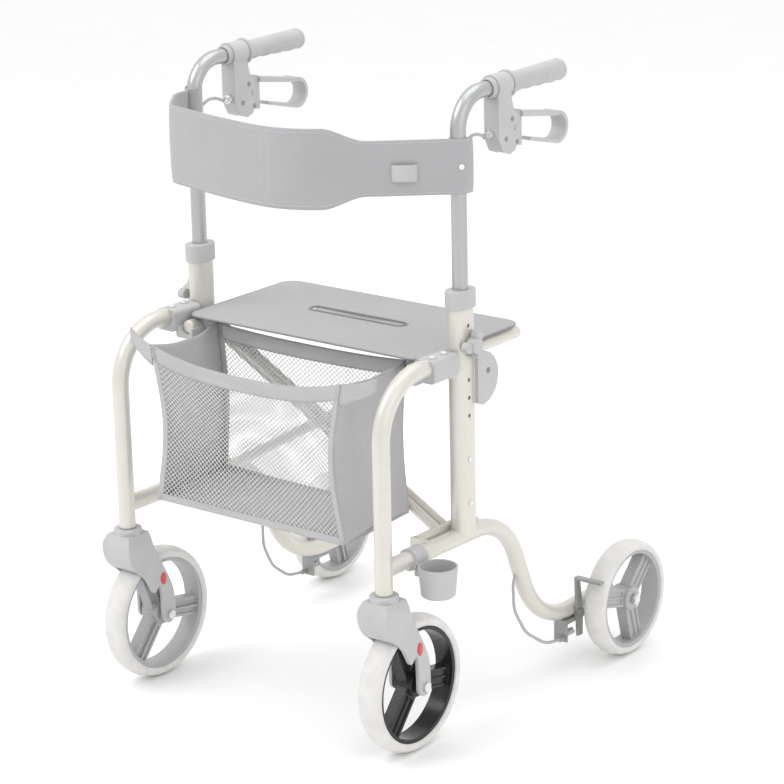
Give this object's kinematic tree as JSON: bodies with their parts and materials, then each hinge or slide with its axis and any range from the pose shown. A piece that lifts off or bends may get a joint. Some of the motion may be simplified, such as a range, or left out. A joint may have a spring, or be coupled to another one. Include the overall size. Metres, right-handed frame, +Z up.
{
  "type": "four-wheeled walking frame",
  "caption": "Folding wheeled walking frame with swivel front casters, braked rear wheels, height-adjustable handles, seat, basket and back band.",
  "frame": {"origin": "on the floor under the middle of the whole frame's box", "axes": "+Z up, -Y towards the swivel casters (the walking direction), +X to the walking person's left"},
  "size_m": [0.62, 0.6599, 0.9275],
  "materials": {
    "frame": "satin metallic champagne paint",
    "plastic": "fine moulded grain",
    "grip": "soft matt rubber",
    "hardware": "bright plated steel",
    "black_steel": "matt painted steel",
    "cable": "smooth cable sheath",
    "inner_tube": "anodised satin",
    "black_hub": "gloss moulded",
    "hub": "fine moulded grain",
    "tyre": "matt soft tyre",
    "seat": "taut coated woven",
    "basket": "open mesh and nylon panels",
    "band": "padded coated fabric"
  },
  "bodies": {
    "left_frame": {"front_leg_left": "frame", "post_left": "frame", "lower_tube_left": "frame", "post_collar_left": "plastic", "seat_saddle_left": "plastic", "frame_fasteners_left": "hardware", "rear_axle_left": "hardware", "brake_anchor_left": "black_steel", "lower_cable_left": "cable", "foot_hinge_left": "frame", "accessory_plate": "plastic", "cane_cup": "plastic", "basket": "basket"},
    "right_frame": {"front_leg_right": "frame", "post_right": "frame", "lower_tube_right": "frame", "post_collar_right": "plastic", "seat_saddle_right": "plastic", "frame_fasteners_right": "hardware", "rear_axle_right": "hardware", "brake_anchor_right": "black_steel", "lower_cable_right": "cable", "foot_hinge_right": "frame"},
    "front_brace": {"front_brace": "frame", "brace_bolt": "hardware"},
    "rear_brace": {"rear_brace": "frame"},
    "left_seat_rail": {"seat_rail_left": "frame", "seat_panel": "seat"},
    "right_seat_rail": {"seat_rail_right": "frame"},
    "left_handle": {"handle_tube_left": "inner_tube", "grip_left": "grip", "lever_housing_left": "plastic", "cable_barrel_left": "hardware", "upper_cable_left": "cable", "back_band": "band"},
    "left_brake_lever": {"brake_lever_left": "plastic"},
    "left_brake_arm": {"brake_arm_left": "black_steel"},
    "left_caster": {"caster_fork_left": "plastic", "caster_stem_left": "hardware", "front_axle_left": "hardware"},
    "left_front_wheel": {"front_hub_left": "black_hub", "front_tyre_left": "tyre"},
    "left_rear_wheel": {"rear_hub_left": "hub", "rear_tyre_left": "tyre"},
    "left_clamp_knob": {"clamp_knob_left": "plastic"},
    "right_handle": {"handle_tube_right": "inner_tube", "grip_right": "grip", "lever_housing_right": "plastic", "cable_barrel_right": "hardware", "upper_cable_right": "cable"},
    "right_brake_lever": {"brake_lever_right": "plastic"},
    "right_brake_arm": {"brake_arm_right": "black_steel"},
    "right_caster": {"caster_fork_right": "plastic", "caster_stem_right": "hardware", "front_axle_right": "hardware"},
    "right_front_wheel": {"front_hub_right": "hub", "front_tyre_right": "tyre"},
    "right_rear_wheel": {"rear_hub_right": "hub", "rear_tyre_right": "tyre"},
    "right_clamp_knob": {"clamp_knob_right": "plastic"}
  },
  "joints": [
    {"name": "fold", "type": "hinge", "parent": "left_frame", "child": "front_brace", "pos_m": [0.218, -0.126, 0.29], "axis": [0, 1, 0], "range_deg": [0, 38], "deforming": ["basket", "seat_panel", "back_band"]},
    {"name": "brace_cross", "type": "hinge", "parent": "front_brace", "child": "rear_brace", "pos_m": [0, -0.103, 0.41472], "axis": [0, 1, 0], "range_deg": [-76, 0]},
    {"name": "right_foot_hinge", "type": "hinge", "parent": "rear_brace", "child": "right_frame", "pos_m": [-0.218, -0.126, 0.29], "axis": [0, 1, 0], "range_deg": [0, 38]},
    {"name": "left_rail_hinge", "type": "hinge", "parent": "rear_brace", "child": "left_seat_rail", "pos_m": [0.205, -0.086, 0.532], "axis": [0, 1, 0], "range_deg": [0, 38]},
    {"name": "right_rail_hinge", "type": "hinge", "parent": "front_brace", "child": "right_seat_rail", "pos_m": [-0.205, -0.12, 0.532], "axis": [0, 1, 0], "range_deg": [-38, 0]},
    {"name": "left_handle_height", "type": "slide", "parent": "left_frame", "child": "left_handle", "axis": [0, 0, 1], "range_m": [-0.1, 0.05]},
    {"name": "left_lever_pull", "type": "hinge", "parent": "left_handle", "child": "left_brake_lever", "pos_m": [0.24, 0.017, 0.846], "axis": [1, 0, 0], "range_deg": [0, 16], "stiffness_Nm_per_rad": 4, "springref_deg": -5.73},
    {"name": "left_brake_swing", "type": "hinge", "parent": "left_frame", "child": "left_brake_arm", "pos_m": [0.256, 0.162, 0.083], "axis": [-1, 0, 0], "range_deg": [0, 3.5]},
    {"name": "left_caster_swivel", "type": "hinge", "parent": "left_frame", "child": "left_caster", "pos_m": [0.24, -0.283, 0.25], "axis": [0, 0, 1], "continuous": true},
    {"name": "left_front_wheel_spin", "type": "hinge", "parent": "left_caster", "child": "left_front_wheel", "pos_m": [0.24, -0.23, 0.1], "axis": [1, 0, 0], "continuous": true},
    {"name": "left_rear_wheel_spin", "type": "hinge", "parent": "left_frame", "child": "left_rear_wheel", "pos_m": [0.286, 0.241, 0.089], "axis": [1, 0, 0], "continuous": true},
    {"name": "left_knob_turn", "type": "hinge", "parent": "left_frame", "child": "left_clamp_knob", "pos_m": [0.264, -0.1, 0.562], "axis": [1, 0, 0], "continuous": true},
    {"name": "right_handle_height", "type": "slide", "parent": "right_frame", "child": "right_handle", "axis": [0, 0, 1], "range_m": [-0.1, 0.05]},
    {"name": "right_lever_pull", "type": "hinge", "parent": "right_handle", "child": "right_brake_lever", "pos_m": [-0.24, 0.017, 0.846], "axis": [1, 0, 0], "range_deg": [0, 16], "stiffness_Nm_per_rad": 4, "springref_deg": -5.73},
    {"name": "right_brake_swing", "type": "hinge", "parent": "right_frame", "child": "right_brake_arm", "pos_m": [-0.256, 0.162, 0.083], "axis": [-1, 0, 0], "range_deg": [0, 3.5]},
    {"name": "right_caster_swivel", "type": "hinge", "parent": "right_frame", "child": "right_caster", "pos_m": [-0.24, -0.283, 0.25], "axis": [0, 0, 1], "continuous": true},
    {"name": "right_front_wheel_spin", "type": "hinge", "parent": "right_caster", "child": "right_front_wheel", "pos_m": [-0.24, -0.23, 0.1], "axis": [1, 0, 0], "continuous": true},
    {"name": "right_rear_wheel_spin", "type": "hinge", "parent": "right_frame", "child": "right_rear_wheel", "pos_m": [-0.286, 0.241, 0.089], "axis": [1, 0, 0], "continuous": true},
    {"name": "right_knob_turn", "type": "hinge", "parent": "right_frame", "child": "right_clamp_knob", "pos_m": [-0.264, -0.1, 0.562], "axis": [1, 0, 0], "continuous": true}
  ],
  "couplings": [
    {"joint": "brace_cross", "follows": "fold", "ratio": -2},
    {"joint": "right_foot_hinge", "follows": "fold", "ratio": 1},
    {"joint": "left_rail_hinge", "follows": "fold", "ratio": 1},
    {"joint": "right_rail_hinge", "follows": "fold", "ratio": -1},
    {"joint": "left_brake_swing", "follows": "left_lever_pull", "ratio": 0.21875},
    {"joint": "right_brake_swing", "follows": "right_lever_pull", "ratio": 0.21875},
    {"joint": "right_handle_height", "follows": "left_handle_height", "ratio": 1}
  ]
}
